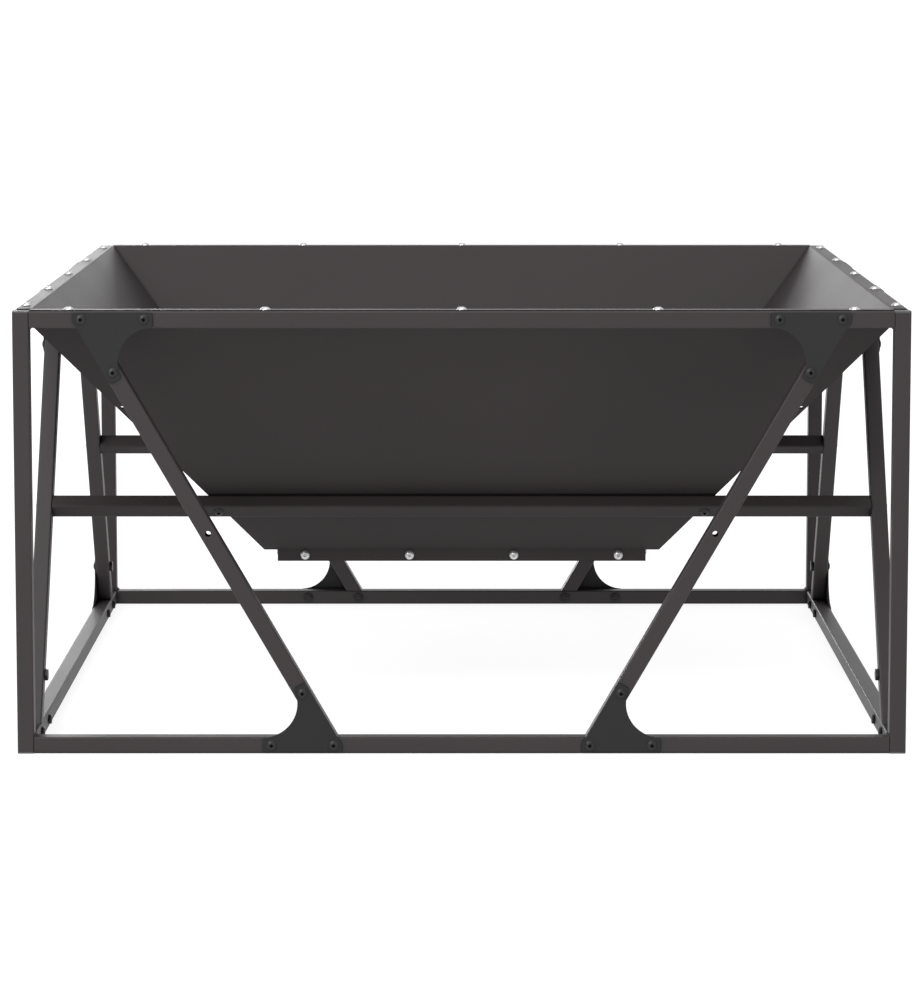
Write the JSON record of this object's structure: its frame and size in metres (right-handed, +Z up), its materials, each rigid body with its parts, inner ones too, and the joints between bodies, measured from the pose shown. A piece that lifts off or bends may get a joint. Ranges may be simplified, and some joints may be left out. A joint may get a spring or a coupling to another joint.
{
  "type": "fire pit with grate",
  "caption": "Square hopper-shaped steel fire pit bowl with a lift-out grate, bolted into an open braced tube frame.",
  "frame": {"origin": "on the floor under the centre of the frame", "axes": "+X right, -Y front, +Z up; a crossbar runs along X at the front and at the rear"},
  "size_m": [0.8056, 0.8056, 0.4033],
  "materials": {
    "frame_coat": "satin anthracite powder coat on square tube",
    "bowl_coat": "satin anthracite powder coat on the bent sheet and its two crossbars",
    "gusset_coat": "satin black-grey powder coat on cut plate",
    "black_bolts": "black oxide, slightly glossy",
    "zinc": "bright zinc plate",
    "cap_plastic": "fine-grained black-grey plastic",
    "grate_steel": "heat-proof matt black on welded bar"
  },
  "bodies": {
    "stand": {"bottom_plate": "bowl_coat", "bottom_rail_front": "frame_coat", "bottom_rail_left": "frame_coat", "bottom_rail_rear": "frame_coat", "bottom_rail_right": "frame_coat", "bowl_panel_front": "bowl_coat", "bowl_panel_left": "bowl_coat", "bowl_panel_rear": "bowl_coat", "bowl_panel_right": "bowl_coat", "brace_front_left": "frame_coat", "brace_front_right": "frame_coat", "brace_left_front": "frame_coat", "brace_left_rear": "frame_coat", "brace_nuts": "black_bolts", "brace_rear_left": "frame_coat", "brace_rear_right": "frame_coat", "brace_right_front": "frame_coat", "brace_right_rear": "frame_coat", "corner_bolts": "black_bolts", "corner_spigots": "zinc", "crossbar_end_bolts": "black_bolts", "crossbar_front": "bowl_coat", "crossbar_plugs": "zinc", "crossbar_rear": "bowl_coat", "gusset_bolts": "black_bolts", "gusset_front_bottom_left": "gusset_coat", "gusset_front_bottom_right": "gusset_coat", "gusset_front_top_left": "gusset_coat", "gusset_front_top_right": "gusset_coat", "gusset_left_bottom_front": "gusset_coat", "gusset_left_bottom_rear": "gusset_coat", "gusset_left_top_front": "gusset_coat", "gusset_left_top_rear": "gusset_coat", "gusset_rear_bottom_left": "gusset_coat", "gusset_rear_bottom_right": "gusset_coat", "gusset_rear_top_left": "gusset_coat", "gusset_rear_top_right": "gusset_coat", "gusset_right_bottom_front": "gusset_coat", "gusset_right_bottom_rear": "gusset_coat", "gusset_right_top_front": "gusset_coat", "gusset_right_top_rear": "gusset_coat", "lip_bolts": "zinc", "lip_nuts": "zinc", "post_caps": "cap_plastic", "post_front_left": "frame_coat", "post_front_right": "frame_coat", "post_rear_left": "frame_coat", "post_rear_right": "frame_coat", "rail_inserts": "zinc", "rail_nuts": "black_bolts", "rim_bolts": "zinc", "seat_bolts": "black_bolts", "seat_clinch_nuts": "zinc", "top_rail_front": "frame_coat", "top_rail_left": "frame_coat", "top_rail_rear": "frame_coat", "top_rail_right": "frame_coat"},
    "grate": {"grate_bars": "grate_steel", "grate_frame": "grate_steel", "grate_handles": "grate_steel"}
  },
  "joints": [
    {"name": "grate_lift", "type": "slide", "parent": "stand", "child": "grate", "axis": [0, 0, 1], "range_m": [0, 0.26]}
  ]
}
